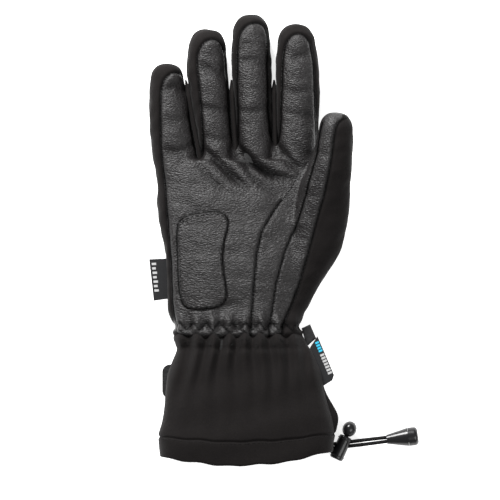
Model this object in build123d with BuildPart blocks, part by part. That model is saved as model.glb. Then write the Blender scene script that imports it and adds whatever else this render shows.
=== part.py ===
"""Insulated right-hand ski glove lying on its back, palm up, fingers towards +Y and thumb towards +X.

The origin is under the middle of the glove, on the surface it lies on. Every size is in millimetres.
"""

from build123d import *

import os
from dataclasses import dataclass
from math import pi, radians, tan

# ---- Overall sizes
HEM_Y = -147.0
HEM_TOP_Y = -130.0
WRIST_Y = -52.0
SEAM_GAP = 0.2

# ---- Layers of the wall: distance of each layer's outer and inner face from the glove's surface
DIGIT_SKIN = (0.0, 0.9)
DIGIT_WADDING = (1.0, 3.5)
DIGIT_LINING = (3.6, 4.2)
HAND_SKIN = (0.0, 1.2)
HAND_WADDING = (1.35, 4.9)
HAND_LINING = (5.05, 5.8)
CUFF_SKIN = (0.0, 1.3)
CUFF_ELASTIC = (1.9, 3.2)
CUFF_LINING = (4.0, 4.8)

# ---- Hand
HAND_THICKNESS = 34.0
HAND_EDGE = 13.0
SIDE_SEAM_Z = 12.0
HAND_OUTLINE = [
    (-52.5, -66), (-52.5, -52), (-55.2, -30), (-57, -8), (-61, 14), (-62, 30), (-62, 60),
    (44.2, 60), (44.2, 40), (41.8, 26), (41.8, -22), (38.5, -40), (34, -52), (34, -66),
]
MOUND_OUTLINE = [
    (8, -66), (34, -66), (34, -52), (38.5, -42), (47.5, -28), (57.5, -6), (63.6, 4), (64.2, 18),
    (43, 18), (43, -4), (8, -24),
]
MOUND_BOTTOM = 2.0
MOUND_TOP = 32.0
MOUND_EDGE = 7.0
THUMB_SEAM = [(46, 46), (27.2, 35), (15.8, 20), (7.4, 5.8), (4.1, -8.6), (2.2, -28), (-1.1, -66)]
HEEL_PATCH = [(-40.8, 16), (-22.5, 18.4), (-13.8, 12), (-18, -8), (-14.8, -36), (-18, -43), (-42, -45), (-47, -30), (-48.5, 4)]
PATCH_GAP = 0.1
PATCH_THICKNESS = 1.3
KNUCKLE_FOAM = (-48.0, 8.0, 34.0, 34.0)  # low x, low y, high x, high y
FOAM_TOP_Z = 4.7

# ---- Digits
DIGIT_Z = 15.0
HINGE_GAP = 0.4
DIGIT_EDGE_SHARE = 0.8
TIP_CORNER = 10.4
THUMB_BASE = (53.4, 10.0, 22.0)
THUMB_AXIS = (0.049, 0.98, 0.19)
MOUND_END = 7.2

# ---- Cuff: y, middle x, width, bottom z, top z, corner radius
CUFF_SECTIONS = [
    (WRIST_Y - SEAM_GAP, -9.25, 86.5, 4.0, 38.0, 14.0),
    (-105.0, -3.25, 103.5, 4.0, 46.0, 16.0),
    (HEM_TOP_Y, -3.4, 113.8, 0.0, 50.0, 18.0),
]
CUFF_SEAM_Z = 20.0
ELASTIC_Y = (-68.0, -56.0)
HEM_WALL = 4.6
HEM_CHANNEL = (0.9, 3.7)
DRAWCORD_Y = -134.0
HEM_CORNER = 14.0

# ---- Cord, lock and cord end
CORD_D = 2.4
CORD_Z = 6.2
CORD_SPACING = 2.55
CORD_START = (50.9, -134.3)
CORD_END = (91.0, -129.4)
LOCK_CENTRE = (59.5, -133.2, CORD_Z)
LOCK_AXIS = (0.42, 0.908, 0.0)
LOCK_RADIUS = 3.9
LOCK_BODY = (-10.2, 6.4)
LOCK_TRAVEL = 2.2
KNOB = (9.2, 16.6)
KNOB_RADIUS = 4.7
ROD_RADIUS = 2.2
ROD_BOTTOM = -5.8
BUTTON_PLAY = 1.1
BARREL_PLAY = 0.7
SPRING_HEIGHT = 0.65
SLOT_HEIGHT = 2.9
BELL_START = (88.4, -129.72, CORD_Z)
BELL_LENGTH = 14.0
BELL_RADII = (3.0, 6.0)
CAP_LENGTH = 6.4

# ---- Wrist strap on the back of the cuff
STRAP_Y = (-103.0, -81.0)
STRAP_X = (-57.5, 21.5)
STRAP_Z = (0.3, 1.9)
ANCHOR_X = (22.0, 36.0)
HOOK_X = (-50.0, -20.0)
EYELET_LENGTH = 1.8
PASSAGE_AXIS = (-0.81, -0.57, -0.14)
PASSAGE_RADIUS = 6.8
PASSAGE_LENGTH = 46.0
WEBBING_FOOT = (42.9, -57.0, 18.0)
LOOP_X = (-38.0, 10.0)


@dataclass
class Digit:
    """One finger or the thumb: where its knuckle hinge is and the size of its outer shape."""

    name: str
    plane: Plane
    length: float
    half_width: float
    half_thickness: float
    leather_half_width: float

    @property
    def edge(self) -> float:
        return DIGIT_EDGE_SHARE * self.half_thickness


def finger(name, x, y, lean, length, half_width, half_thickness, leather_half_width):
    """A finger that leans outwards by some degrees and bends about its plane's X axis."""
    across = Vector(1, 0, 0).rotate(Axis.Z, lean)
    plane = Plane(origin=(x, y, DIGIT_Z), x_dir=across, z_dir=(0, 0, 1))
    return Digit(name, plane, length, half_width, half_thickness, leather_half_width)


FINGERS = [
    finger("little", -46.9, 46.0, 8.1, 69.7, 12.8, 11.0, 9.4),
    finger("ring", -21.6, 52.0, 6.0, 86.2, 11.8, 12.0, 9.6),
    finger("middle", 3.4, 55.0, 2.2, 91.9, 12.4, 12.0, 10.2),
    finger("index", 30.5, 54.0, 0.9, 86.6, 13.4, 12.0, 11.0),
]
_thumb_y = Vector(*THUMB_AXIS).normalized()
_thumb_x = _thumb_y.cross(Vector(0, 0, 1)).normalized()
THUMB = Digit(
    "thumb", Plane(origin=THUMB_BASE, x_dir=_thumb_x, z_dir=_thumb_x.cross(_thumb_y)), 75.3, 10.5, 10.5, 10.5
)


def write(part, name):
    """Label one finished piece and write its STEP file."""
    part.label = name
    export_step(part, f"parts/{name}.step")


def box_part(low, high):
    """A box from its lowest to its highest corner."""
    size = [b - a for a, b in zip(low, high)]
    centre = [(a + b) / 2 for a, b in zip(low, high)]
    with BuildPart(Plane(origin=centre)) as block:
        Box(*size)
    return block.part


# ---------------------------------------------------------------- digits
def digit_blank(digit, inset):
    """The digit's rounded form, inset from its outer face and running back past its hinge."""
    half_width = digit.half_width - inset
    half_thickness = digit.half_thickness - inset
    back = digit.half_thickness + 4
    reach = digit.length - inset
    with BuildPart() as blank:
        with BuildSketch(digit.plane.offset(-half_thickness)):
            with Locations((0, (reach - back) / 2)):
                Rectangle(2 * half_width, reach + back)
            fillet(vertices().group_by(Axis.Y)[-1], TIP_CORNER - inset)
        extrude(amount=2 * half_thickness)
        along = Axis(digit.plane.origin, digit.plane.y_dir)
        rims = faces().filter_by(Axis(digit.plane.origin, digit.plane.z_dir)).edges()
        base = faces().sort_by(along)[0].edges()
        fillet(rims - base, digit.edge - inset)
    return blank.part


def hinge_mask(digit):
    """Everything a digit may fill: a barrel about its hinge and the space in front of it."""
    with BuildPart(digit.plane) as mask:
        if digit is THUMB:
            Sphere(digit.half_thickness)
        else:
            Cylinder(digit.half_thickness, 80, rotation=(0, 90, 0))
        with Locations((0, 60, 0)):
            Box(80, 120, 80)
    return mask.part


def digit_layer(digit, layer):
    """One hollow layer of a digit's wall, open at the hinge."""
    with BuildPart() as hollow:
        add(digit_blank(digit, layer[0]))
        add(digit_blank(digit, layer[1]), mode=Mode.SUBTRACT)
        add(hinge_mask(digit), mode=Mode.INTERSECT)
    return hollow.part


def digit_region(digit, low, high):
    """A box in the digit's own directions, used to share its skin out into panels."""
    centre = [(a + b) / 2 for a, b in zip(low, high)]
    with BuildPart(digit.plane) as region:
        with Locations(tuple(centre)):
            Box(*[b - a for a, b in zip(low, high)])
    return region.part


def make_finger(digit):
    """A finger's leather front, its fourchettes, its back, its wadding and its lining."""
    skin = digit_layer(digit, DIGIT_SKIN)
    leather_top = digit.length - 5.5
    back_z = -0.4 * digit.half_thickness
    front_region = digit_region(
        digit, (-digit.leather_half_width, -20, 0), (digit.leather_half_width, leather_top, 20)
    )
    back_region = digit_region(digit, (-40, -40, -40), (40, 140, back_z))
    with BuildPart() as front:
        add(skin)
        add(front_region, mode=Mode.INTERSECT)
    with BuildPart() as back:
        add(skin)
        add(back_region, mode=Mode.INTERSECT)
    with BuildPart() as fourchettes:
        add(skin)
        add(front_region, mode=Mode.SUBTRACT)
        add(back_region, mode=Mode.SUBTRACT)
    write(front.part, f"{digit.name}_front_leather")
    write(back.part, f"{digit.name}_back_shell")
    write(fourchettes.part, f"{digit.name}_fourchettes")
    write(digit_layer(digit, DIGIT_WADDING), f"{digit.name}_wadding")
    write(digit_layer(digit, DIGIT_LINING), f"{digit.name}_lining")


def make_thumb():
    """The thumb's two leather strips, its back, its wadding and its lining."""
    skin = digit_layer(THUMB, DIGIT_SKIN)
    back_region = digit_region(THUMB, (-40, -40, -40), (40, 140, -2))
    strip_region = digit_region(THUMB, (-40, -40, -2), (-3, 140, 40))
    with BuildPart() as back:
        add(skin)
        add(back_region, mode=Mode.INTERSECT)
    with BuildPart() as inner:
        add(skin)
        add(strip_region, mode=Mode.INTERSECT)
    with BuildPart() as outer:
        add(skin)
        add(strip_region, mode=Mode.SUBTRACT)
        add(back_region, mode=Mode.SUBTRACT)
    write(back.part, "thumb_back_shell")
    write(inner.part, "thumb_inner_leather")
    write(outer.part, "thumb_front_leather")
    write(digit_layer(THUMB, DIGIT_WADDING), "thumb_wadding")
    write(digit_layer(THUMB, DIGIT_LINING), "thumb_lining")


# ---------------------------------------------------------------- hand
def pillow(outline, corner, bottom, top, edge, inset):
    """An outline with rounded sides, open-ended at its lowest and highest y."""
    ends = [min(y for _, y in outline), max(y for _, y in outline)]
    with BuildPart() as form:
        with BuildSketch(Plane.XY.offset(bottom + inset)):
            with BuildLine():
                Polyline(*outline, close=True)
            make_face()
            bends = [v for v in vertices() if v.Y not in ends]
            fillet(bends, corner)
            offset(amount=-inset, kind=Kind.ARC)
        extrude(amount=top - bottom - 2 * inset)
        rims = faces().filter_by(Axis.Z).edges()
        ends_y = faces().sort_by(Axis.Y)
        closed = ends_y[0].edges() + ends_y[-1].edges()
        fillet(rims - closed, edge - inset)
    return form.part


def hand_blank(inset):
    """The hand and the thumb's mound, inset from the glove's surface."""
    with BuildPart() as blank:
        add(pillow(HAND_OUTLINE, 14, 0, HAND_THICKNESS, HAND_EDGE, inset))
        add(pillow(MOUND_OUTLINE, 10.3, MOUND_BOTTOM, MOUND_TOP, MOUND_EDGE, inset))
    return blank.part


def knuckle_cutters():
    """The space that the fingers and the thumb need in front of the hand, over their whole travel."""
    with BuildPart() as cutters:
        for digit in FINGERS:
            left = 30.0 if digit is FINGERS[0] else 1.0
            right = 30.0 if digit is FINGERS[-1] else 1.0
            low_x, high_x = -digit.half_width - left, digit.half_width + right
            clear = digit.half_thickness + HINGE_GAP
            with Locations(digit.plane):
                with Locations(((low_x + high_x) / 2, 0, 0)):
                    Cylinder(clear, high_x - low_x, rotation=(0, 90, 0))
                with Locations(((low_x + high_x) / 2, 30, 0)):
                    Box(high_x - low_x, 60, 60)
                with Locations(((low_x + high_x) / 2, 30 - clear, 15)):
                    Box(high_x - low_x, 60, 30)
        with Locations(THUMB.plane):
            Sphere(THUMB.half_thickness + HINGE_GAP)
            with Locations((29.0, 30 - MOUND_END, 0)):
                Box(80, 60, 80)
            Cylinder(THUMB.half_width - DIGIT_LINING[1], 44, rotation=(90, 0, 0))
        with Locations(Plane(origin=THUMB.plane.origin, z_dir=PASSAGE_AXIS)):
            Cylinder(PASSAGE_RADIUS, PASSAGE_LENGTH, align=(Align.CENTER, Align.CENTER, Align.MIN))
        add(box_part((-90, -90, -10), (90, WRIST_Y, 60)))
    return cutters.part


def hand_layer(layer, cutters):
    """One layer of the hand's wall, open at the wrist, the knuckles and the thumb."""
    with BuildPart() as hollow:
        add(hand_blank(layer[0]))
        add(hand_blank(layer[1]), mode=Mode.SUBTRACT)
        add(cutters, mode=Mode.SUBTRACT)
    return hollow.part


def make_hand(cutters):
    """Palm leather, thumb mound leather, heel patch, back, wadding, knuckle foam and lining."""
    skin = hand_layer(HAND_SKIN, cutters)
    upper = box_part((-90, -90, SIDE_SEAM_Z), (90, 90, 60))
    with BuildPart() as mound_region:
        with BuildSketch(Plane.XY.offset(SIDE_SEAM_Z)):
            with BuildLine():
                Polyline(*THUMB_SEAM, (90, -66), (90, 46), close=True)
            make_face()
        extrude(amount=40)
    with BuildPart() as palm:
        add(skin)
        add(upper, mode=Mode.INTERSECT)
        add(mound_region.part, mode=Mode.SUBTRACT)
    with BuildPart() as mound:
        add(skin)
        add(mound_region.part, mode=Mode.INTERSECT)
    with BuildPart() as back:
        add(skin)
        add(upper, mode=Mode.SUBTRACT)
    with BuildPart() as patch:
        with BuildSketch(Plane.XY.offset(HAND_THICKNESS + PATCH_GAP)):
            with BuildLine():
                Polyline(*HEEL_PATCH, close=True)
            make_face()
            fillet(vertices(), 3)
        extrude(amount=PATCH_THICKNESS)
    low_x, low_y, high_x, high_y = KNUCKLE_FOAM
    wadding = hand_layer(HAND_WADDING, cutters)
    with BuildPart() as foam:
        add(wadding)
        add(box_part((low_x, low_y, 0), (high_x, high_y, FOAM_TOP_Z)), mode=Mode.INTERSECT)
    grown = 0.15
    with BuildPart() as cut_wadding:
        add(wadding)
        pocket = box_part((low_x - grown, low_y - grown, 0), (high_x + grown, high_y + grown, FOAM_TOP_Z + grown))
        add(pocket, mode=Mode.SUBTRACT)
    write(palm.part, "palm_leather")
    write(mound.part, "thumb_mound_leather")
    write(back.part, "hand_back_shell")
    write(patch.part, "heel_patch")
    write(foam.part, "knuckle_foam")
    write(cut_wadding.part, "hand_wadding")
    write(hand_layer(HAND_LINING, cutters), "hand_lining")


# ---------------------------------------------------------------- cuff
def cuff_blank(inset):
    """The cuff's outer form from wrist to hem, inset from its surface."""
    with BuildPart() as blank:
        for y, x, width, bottom, top, corner in CUFF_SECTIONS:
            plane = Plane(origin=(x, y, (bottom + top) / 2), x_dir=(1, 0, 0), z_dir=(0, -1, 0))
            with BuildSketch(plane):
                RectangleRounded(width - 2 * inset, top - bottom - 2 * inset, corner - inset)
        loft(ruled=True)
    return blank.part


def cuff_layer(layer):
    """One layer of the cuff's wall, open at both ends."""
    with BuildPart() as hollow:
        add(cuff_blank(layer[0]))
        add(cuff_blank(layer[1]), mode=Mode.SUBTRACT)
    return hollow.part


def hem_ring(outer, inner, low_y, high_y):
    """A ring that follows the hem's section between two distances from its surface."""
    _, x, width, bottom, top, corner = CUFF_SECTIONS[-1]
    plane = Plane(origin=(x, high_y, (bottom + top) / 2), x_dir=(1, 0, 0), z_dir=(0, -1, 0))
    with BuildPart() as ring:
        with BuildSketch(plane):
            RectangleRounded(width - 2 * outer, top - bottom - 2 * outer, corner - outer)
            RectangleRounded(width - 2 * inner, top - bottom - 2 * inner, corner - inner, mode=Mode.SUBTRACT)
        extrude(amount=high_y - low_y)
    return ring.part


def make_cuff(eyelet_room):
    """Cuff panels, lining, wrist elastic, hem and the drawcord inside the hem."""
    skin = cuff_layer(CUFF_SKIN)
    front_region = box_part((-90, -160, CUFF_SEAM_Z), (90, -40, 80))
    with BuildPart() as front:
        add(skin)
        add(front_region, mode=Mode.INTERSECT)
    with BuildPart() as back:
        add(skin)
        add(front_region, mode=Mode.SUBTRACT)
        add(eyelet_room, mode=Mode.SUBTRACT)
    with BuildPart() as elastic:
        add(cuff_layer(CUFF_ELASTIC))
        add(box_part((-90, ELASTIC_Y[0], -10), (90, ELASTIC_Y[1], 80)), mode=Mode.INTERSECT)
    half_channel = CORD_D / 2 + 0.4
    _, x, width, bottom, top, corner = CUFF_SECTIONS[-1]
    with BuildPart() as hem:
        add(hem_ring(0, HEM_WALL, HEM_Y, HEM_TOP_Y - SEAM_GAP))
        channel = hem_ring(*HEM_CHANNEL, DRAWCORD_Y - half_channel, DRAWCORD_Y + half_channel)
        add(channel, mode=Mode.SUBTRACT)
        with BuildSketch(Plane.XY.offset(-5)) as rounded_rim:
            with Locations((x, HEM_Y + 30)):
                RectangleRounded(width, 60, HEM_CORNER)
        extrude(amount=70, mode=Mode.INTERSECT)
        add(eyelet_room, mode=Mode.SUBTRACT)
    middle = sum(HEM_CHANNEL) / 2
    with BuildPart() as drawcord:
        plane = Plane(origin=(x, DRAWCORD_Y, (bottom + top) / 2), x_dir=(1, 0, 0), z_dir=(0, -1, 0))
        with BuildSketch(plane, mode=Mode.PRIVATE) as route:
            RectangleRounded(width - 2 * middle, top - bottom - 2 * middle, corner - middle)
        path = route.sketch.face().outer_wire()
        with BuildSketch(Plane(origin=path @ 0, z_dir=path % 0)):
            Circle(CORD_D / 2)
        sweep(path=path)
    write(front.part, "cuff_front_panel")
    write(back.part, "cuff_back_panel")
    write(elastic.part, "wrist_elastic")
    write(cuff_layer(CUFF_LINING), "cuff_lining")
    write(hem.part, "hem_band")
    write(drawcord.part, "hem_drawcord")


# ---------------------------------------------------------------- cord, lock and cord end
CORD_LINE = Vector(CORD_END[0] - CORD_START[0], CORD_END[1] - CORD_START[1], 0).normalized()
CORD_SIDE = Vector(-CORD_LINE.Y, CORD_LINE.X, 0)


def cord_route(side):
    """Points of one strand from the eyelet to the cord end; side is -1 or 1 across the cord line."""
    bow = [0.0, 0.0, 0.16, 0.1, 0.0]
    along = [0.0, 10.5, 20.5, 31.0, 40.4]
    start = Vector(*CORD_START, CORD_Z)
    return [
        start + CORD_LINE * s + CORD_SIDE * side * (CORD_SPACING / 2 + b) + Vector(0, 0, 0.12 * k % 0.24)
        for k, (s, b) in enumerate(zip(along, bow))
    ]


def corner_radii(points):
    """As large an arc at each bend as the two runs beside it allow."""
    radii = []
    for before, here, after in zip(points, points[1:], points[2:]):
        first, second = here - before, after - here
        half_turn = radians(first.get_angle(second) / 2)
        radii.append(0.45 * min(first.length, second.length) / tan(half_turn))
    return radii


def make_cord():
    """The two free strands of the drawcord."""
    for name, side in (("cord_strand_lower", -1), ("cord_strand_upper", 1)):
        points = cord_route(side)
        radii = corner_radii(points)
        print(name, "radii", [round(r) for r in radii])
        with BuildPart() as strand:
            with BuildLine():
                route = FilletPolyline(*points, radius=radii)
            with BuildSketch(Plane(origin=route @ 0, z_dir=route % 0)):
                Circle(CORD_D / 2)
            sweep(path=route)
        ideal = pi * (CORD_D / 2) ** 2 * route.length
        print(name, "length", round(route.length, 1), "volume share", round(strand.part.volume / ideal, 3))
        write(strand.part, name)


def cord_slot(length, width, height):
    """A slot along the cord line through the lock's centre."""
    plane = Plane(origin=LOCK_CENTRE, x_dir=CORD_LINE, z_dir=(0, 0, 1))
    with BuildPart(plane) as slot:
        Box(length, width, height)
    return slot.part


def make_lock():
    """The lock's barrel, its push button and the spring under it."""
    axis_plane = Plane(origin=LOCK_CENTRE, x_dir=(LOCK_AXIS[1], -LOCK_AXIS[0], 0), z_dir=LOCK_AXIS)
    cord_band = CORD_SPACING + CORD_D
    low, high = LOCK_BODY
    with BuildPart() as barrel:
        with BuildSketch(axis_plane.offset(low)):
            Circle(LOCK_RADIUS)
        extrude(amount=high - low)
        fillet(edges().filter_by(GeomType.CIRCLE), 0.8)
        with BuildSketch(axis_plane.offset(low + 1.0)):
            Circle(ROD_RADIUS + 0.35)
        extrude(amount=high - low, mode=Mode.SUBTRACT)
        add(cord_slot(20, cord_band + BARREL_PLAY, SLOT_HEIGHT), mode=Mode.SUBTRACT)
    with BuildPart() as button:
        with BuildSketch(axis_plane.offset(ROD_BOTTOM)):
            Circle(ROD_RADIUS)
        extrude(amount=KNOB[0] - ROD_BOTTOM + 1)
        shift = Vector(*LOCK_AXIS) * (LOCK_TRAVEL / 2 + 0.15)
        slot = cord_slot(20, cord_band + BUTTON_PLAY + LOCK_TRAVEL * 0.85, SLOT_HEIGHT).moved(Location(shift))
        add(slot, mode=Mode.SUBTRACT)
        with BuildSketch(axis_plane.offset(KNOB[0])):
            Circle(KNOB_RADIUS)
        extrude(amount=KNOB[1] - KNOB[0])
        fillet(edges().filter_by(GeomType.CIRCLE).group_by(SortBy.RADIUS)[-1], 2.0)
    with BuildPart() as spring:
        foot = axis_plane.offset(low + 1.25).origin
        with BuildLine():
            coil = Helix(pitch=0.5, height=SPRING_HEIGHT, radius=1.7, center=foot, direction=LOCK_AXIS)
        with BuildSketch(Plane(origin=coil @ 0, z_dir=coil % 0)):
            Circle(0.18)
        sweep(path=coil)
    write(barrel.part, "lock_barrel")
    write(button.part, "lock_button")
    write(spring.part, "lock_spring")


def make_cord_end():
    """The bell on the strands' ends and the cap that closes it."""
    plane = Plane(origin=BELL_START, x_dir=CORD_SIDE, z_dir=CORD_LINE)
    small, large = BELL_RADII
    with BuildPart() as bell:
        with BuildSketch(plane):
            Circle(small)
        with BuildSketch(plane.offset(BELL_LENGTH)):
            Circle(large)
        loft(ruled=True)
        with BuildSketch(plane.offset(3.6)):
            Circle(small - 1.2)
        with BuildSketch(plane.offset(BELL_LENGTH)):
            Circle(large - 1.4)
        loft(ruled=True, mode=Mode.SUBTRACT)
        with BuildSketch(plane.offset(-1)):
            SlotOverall(CORD_SPACING + CORD_D + 0.25, CORD_D + 0.25)
        extrude(amount=5, mode=Mode.SUBTRACT)
    with BuildPart() as cap:
        with BuildSketch(plane.offset(BELL_LENGTH + 0.1)):
            Circle(large)
        extrude(amount=CAP_LENGTH)
        fillet(edges().filter_by(GeomType.CIRCLE).sort_by(Axis.X)[-1], 2.4)
        with BuildSketch(plane.offset(BELL_LENGTH - 2)):
            Circle(large - 2.2)
        extrude(amount=2.5)
    write(bell.part, "cord_end_bell")
    write(cap.part, "cord_end_cap")


def eyelet_plane(x):
    """A plane across the eyelet's bore at a given x."""
    return Plane(origin=(x, CORD_START[1], CORD_Z), x_dir=(0, 1, 0), z_dir=(1, 0, 0))


def eyelet_clearance():
    """The hole that the eyelet fills in the hem."""
    with BuildPart() as room:
        with BuildSketch(eyelet_plane(47.9)):
            SlotOverall(CORD_SPACING + CORD_D + 3.1, CORD_D + 3.1)
        extrude(amount=12)
    return room.part


def make_eyelet():
    """The oval eyelet that both strands come out of."""
    with BuildPart() as eyelet:
        with BuildSketch(eyelet_plane(50.7)):
            SlotOverall(CORD_SPACING + CORD_D + 2.9, CORD_D + 2.9)
        extrude(amount=EYELET_LENGTH)
        with BuildSketch(eyelet_plane(50.0)):
            SlotOverall(CORD_SPACING + CORD_D + 0.8, CORD_D + 0.6)
        extrude(amount=8, mode=Mode.SUBTRACT)
    write(eyelet.part, "cord_eyelet")


# ---------------------------------------------------------------- strap, labels and loop
def make_strap():
    """The hook-and-loop wrist strap on the back of the cuff, its two patches and its anchor."""
    low_y, high_y = STRAP_Y
    strap_top = STRAP_Z[1]
    with BuildPart() as strap:
        with BuildSketch(Plane.XY.offset(STRAP_Z[0])):
            with Locations((sum(STRAP_X) / 2, sum(STRAP_Y) / 2)):
                Rectangle(STRAP_X[1] - STRAP_X[0], high_y - low_y)
            fillet(vertices().group_by(Axis.X)[0], 5)
        extrude(amount=strap_top - STRAP_Z[0])
    write(strap.part, "wrist_strap")
    write(box_part((HOOK_X[0], low_y + 2, strap_top), (HOOK_X[1], high_y - 2, strap_top + 0.7)), "strap_hook_patch")
    write(box_part((LOOP_X[0], low_y + 1, 2.8), (LOOP_X[1], high_y - 1, 3.85)), "strap_loop_patch")
    write(box_part((ANCHOR_X[0], low_y, STRAP_Z[0]), (ANCHOR_X[1], high_y, 3.85)), "strap_anchor")


def plate(points, bottom, thickness, name, corner=1.0):
    """A thin sewn label with slightly rounded corners."""
    with BuildPart() as label:
        with BuildSketch(Plane.XY.offset(bottom)):
            with BuildLine():
                Polyline(*points, close=True)
            make_face()
            fillet(vertices(), corner)
        extrude(amount=thickness)
    write(label.part, name)


def make_labels():
    """The side label, the hanging flag label and the small webbing loop."""
    plate([(-65.3, -13), (-57.3, -12.3), (-55.2, -37.9), (-62.7, -38.8)], 15.0, 0.9, "side_label", 0.6)
    plate([(40.6, -64), (44.5, -62.5), (54.3, -88), (52.6, -93), (47.4, -95)], 22.4, 0.8, "flag_label")
    loop_plane = Plane(origin=WEBBING_FOOT, x_dir=(1, 0, 0), z_dir=(0, -1, 0))
    with BuildPart() as loop:
        with BuildSketch(loop_plane):
            SlotOverall(10.4, 8.0)
            SlotOverall(7.6, 5.2, mode=Mode.SUBTRACT)
        extrude(amount=8)
    write(loop.part, "webbing_loop")


def main():
    """Make every piece of the glove."""
    os.makedirs("parts", exist_ok=True)
    for digit in FINGERS:
        make_finger(digit)
    make_thumb()
    make_hand(knuckle_cutters())
    make_cuff(eyelet_clearance())
    make_cord()
    make_lock()
    make_cord_end()
    make_eyelet()
    make_strap()
    make_labels()


main()
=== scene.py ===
"""Looks of an insulated ski glove: leather and softshell panels, gathered cuff, cord lock and labels."""

import logging
import math
import random
from dataclasses import dataclass, field
from enum import Enum

import bmesh
import bpy
import numpy as np
from mathutils import Matrix, Vector
from mathutils.bvhtree import BVHTree

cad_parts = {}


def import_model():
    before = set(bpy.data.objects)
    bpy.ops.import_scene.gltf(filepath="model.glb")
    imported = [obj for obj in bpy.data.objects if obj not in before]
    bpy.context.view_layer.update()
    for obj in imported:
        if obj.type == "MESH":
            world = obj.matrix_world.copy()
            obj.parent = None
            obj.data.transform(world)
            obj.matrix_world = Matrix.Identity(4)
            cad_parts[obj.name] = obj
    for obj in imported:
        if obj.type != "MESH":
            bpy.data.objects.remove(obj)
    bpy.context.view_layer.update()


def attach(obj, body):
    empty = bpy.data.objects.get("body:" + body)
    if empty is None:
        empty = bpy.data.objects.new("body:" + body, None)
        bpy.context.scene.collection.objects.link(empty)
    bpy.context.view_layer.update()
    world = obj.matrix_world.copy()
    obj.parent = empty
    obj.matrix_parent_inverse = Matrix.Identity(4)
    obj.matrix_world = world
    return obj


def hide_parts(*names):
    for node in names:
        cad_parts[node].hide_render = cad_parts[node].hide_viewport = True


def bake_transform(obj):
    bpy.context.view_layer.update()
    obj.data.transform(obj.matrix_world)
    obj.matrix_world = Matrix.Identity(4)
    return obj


LOG = logging.getLogger("glove")
MM = 0.001
VOXEL_MM = 1.05
SEED = 7
MATERIALS = {}


class Slot(Enum):
    """Material slots of the record that pieces take their finish from."""

    LEATHER = "synthetic_leather"
    SHELL = "softshell"
    FLEECE = "fleece"
    CORD = "cord"
    PLASTIC = "black_plastic"
    WEBBING = "webbing"
    LABEL = "woven_label"
    HOOK = "hook_and_loop"


# ------------------------------------------------------------------ the glove's plan, in millimetres
@dataclass(frozen=True)
class Station:
    """One cross-section of a soft tube: its middle, half width and half height."""

    x: float
    y: float
    z: float
    half_width: float
    half_height: float


@dataclass(frozen=True)
class Digit:
    """A digit's name, its body, the stations of its form and the length of its tip."""

    name: str
    body: str
    stations: tuple
    tip: float


FINGER_Z = 15.0
FINGER_EASE = 0.4
DIGITS = (
    Digit("little", "little_finger", (
        Station(-46, 15, FINGER_Z, 11, 11), Station(-48.2, 42, FINGER_Z, 13.6, 11.5),
        Station(-49.4, 56, FINGER_Z, 15.0, 11.5), Station(-51.4, 70, FINGER_Z, 14.5, 11.5),
        Station(-53.1, 85, FINGER_Z, 13.5, 11.3), Station(-54.2, 98, FINGER_Z, 12.1, 11.0),
        Station(-54.4, 104, FINGER_Z, 11.2, 10.6),
    ), 10.8),
    Digit("ring", "ring_finger", (
        Station(-21, 20, FINGER_Z, 10.5, 11), Station(-21.6, 48, FINGER_Z, 11.0, 12),
        Station(-22.1, 60, FINGER_Z, 11.1, 12), Station(-23.9, 74, FINGER_Z, 11.9, 12),
        Station(-25.7, 88, FINGER_Z, 12.7, 12), Station(-27.2, 100, FINGER_Z, 13.4, 12),
        Station(-28.4, 112, FINGER_Z, 13.7, 11.7), Station(-28.3, 124, FINGER_Z, 12.6, 11.2),
    ), 13.2),
    Digit("middle", "middle_finger", (
        Station(3, 22, FINGER_Z, 11, 11), Station(2.9, 52, FINGER_Z, 11.8, 12.3),
        Station(2.6, 64, FINGER_Z, 12.0, 12.3), Station(1.95, 80, FINGER_Z, 12.5, 12.3),
        Station(1.05, 102, FINGER_Z, 13.1, 12.2), Station(0.4, 118, FINGER_Z, 13.5, 12),
        Station(0.2, 133, FINGER_Z, 12.5, 11.4),
    ), 13.6),
    Digit("index", "index_finger", (
        Station(30, 22, FINGER_Z, 13, 11), Station(30.6, 52, FINGER_Z, 13.8, 12.2),
        Station(30.6, 64, FINGER_Z, 14.1, 12.2), Station(30.6, 82, FINGER_Z, 14.3, 12.2),
        Station(30.7, 100, FINGER_Z, 14.6, 12.2), Station(30.1, 116, FINGER_Z, 14.2, 12),
        Station(29.7, 127, FINGER_Z, 12.7, 11.4),
    ), 13.5),
)
THUMB = Digit("thumb", "thumb", (
    Station(18, -56, 17, 11, 13), Station(24, -40, 17.5, 13.5, 14), Station(32, -20, 18.5, 16, 15),
    Station(41.5, 0, 21, 18.3, 15.5), Station(46.4, 20, 26, 17.6, 14.5), Station(49.4, 36, 31.5, 15.8, 13.2),
    Station(52.4, 50, 36, 13.6, 12.4), Station(54.4, 62, 38.5, 12.0, 11.8), Station(55.4, 71, 40, 11.2, 11.2),
), 12.4)
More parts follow.
